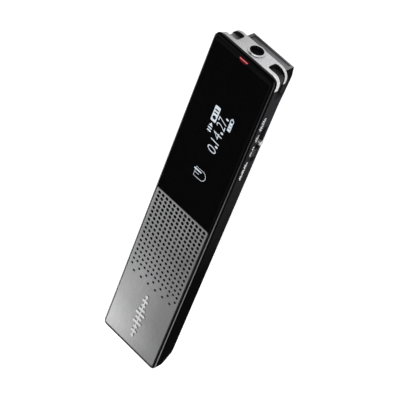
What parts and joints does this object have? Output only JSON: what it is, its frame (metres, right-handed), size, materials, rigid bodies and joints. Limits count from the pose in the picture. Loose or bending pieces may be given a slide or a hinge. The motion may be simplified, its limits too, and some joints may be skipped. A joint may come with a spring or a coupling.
{
  "type": "portable voice recorder",
  "caption": "Slim bar-shaped voice recorder with a glossy display window, a brushed speaker grille, stereo microphones and a jack at the top, side keys and a spring clip on the back.",
  "frame": {"origin": "under the middle of the whole object, lying face up, at the level of the clip's outermost bulge", "axes": "+X to the recorder's right side seen from the front, +Y along its length towards the microphones and jack, +Z out of the display"},
  "size_m": [0.0212, 0.1024, 0.0124],
  "materials": {
    "frame_black": "satin black moulding",
    "band_metal": "dark satin metal",
    "cap_silver": "fine blasted silver",
    "grille_metal": "grey brushed along the length",
    "window_glass": "glossy black window",
    "polished": "polished bright metal",
    "clip_metal": "dark brushed metal",
    "mic_mesh": "dark fine mesh",
    "key_plastic": "satin black key",
    "light_red": "red light guide",
    "steel": "plain steel",
    "inner_plastic": "black moulded plastic",
    "gauze": "black acoustic gauze",
    "board": "green board with solder mask",
    "flex": "amber flex film",
    "battery_wrap": "grey wrapped cell"
  },
  "bodies": {
    "body": {"back_switch": "inner_plastic", "battery": "battery_wrap", "clip_base": "frame_black", "clip_pin": "steel", "clip_spring": "steel", "display_flex": "flex", "display_window": "window_glass", "forward_switch": "inner_plastic", "front_frame": "frame_black", "grille_plate": "grille_metal", "jack_ring": "polished", "jack_socket": "inner_plastic", "led_chip": "inner_plastic", "led_window": "light_red", "main_board": "board", "memory_chip": "inner_plastic", "mic_capsule_left": "steel", "mic_capsule_right": "steel", "mic_mesh_left": "mic_mesh", "mic_mesh_right": "mic_mesh", "oled_panel": "window_glass", "play_switch": "inner_plastic", "processor_chip": "inner_plastic", "rear_cover": "frame_black", "rear_screw_1": "steel", "rear_screw_2": "steel", "rear_screw_3": "steel", "rear_screw_4": "steel", "rec_switch": "inner_plastic", "shield_can": "steel", "side_band": "band_metal", "slide_switch": "inner_plastic", "speaker_gauze": "gauze", "speaker_unit": "inner_plastic", "stop_switch": "inner_plastic", "top_cap": "cap_silver", "usb_port": "steel", "wave_emblem": "polished"},
    "clip": {"clip_plate": "clip_metal"},
    "slide_knob": {"slide_knob": "key_plastic"},
    "rec_key": {"rec_key": "key_plastic"},
    "stop_key": {"stop_key": "key_plastic"},
    "play_key": {"play_key": "key_plastic"},
    "back_key": {"back_key": "key_plastic"},
    "forward_key": {"forward_key": "key_plastic"}
  },
  "joints": [
    {"name": "clip_hinge", "type": "hinge", "parent": "body", "child": "clip", "pos_m": [0, 0.0463, 0.0028], "axis": [1, 0, 0], "range_deg": [0, 12], "stiffness_Nm_per_rad": 0.08, "springref_deg": -22.92},
    {"name": "slide_switch_travel", "type": "slide", "parent": "body", "child": "slide_knob", "axis": [0, 1, 0], "range_m": [0, 0.004]},
    {"name": "rec_key_press", "type": "slide", "parent": "body", "child": "rec_key", "axis": [1, 0, 0], "range_m": [0, 0.0003], "stiffness_N_per_m": 400, "springref_m": -0.001},
    {"name": "stop_key_press", "type": "slide", "parent": "body", "child": "stop_key", "axis": [1, 0, 0], "range_m": [0, 0.0003], "stiffness_N_per_m": 400, "springref_m": -0.001},
    {"name": "play_key_press", "type": "slide", "parent": "body", "child": "play_key", "axis": [1, 0, 0], "range_m": [0, 0.0003], "stiffness_N_per_m": 400, "springref_m": -0.001},
    {"name": "back_key_press", "type": "slide", "parent": "body", "child": "back_key", "axis": [1, 0, 0], "range_m": [0, 0.0003], "stiffness_N_per_m": 400, "springref_m": -0.001},
    {"name": "forward_key_press", "type": "slide", "parent": "body", "child": "forward_key", "axis": [1, 0, 0], "range_m": [0, 0.0003], "stiffness_N_per_m": 400, "springref_m": -0.001}
  ]
}
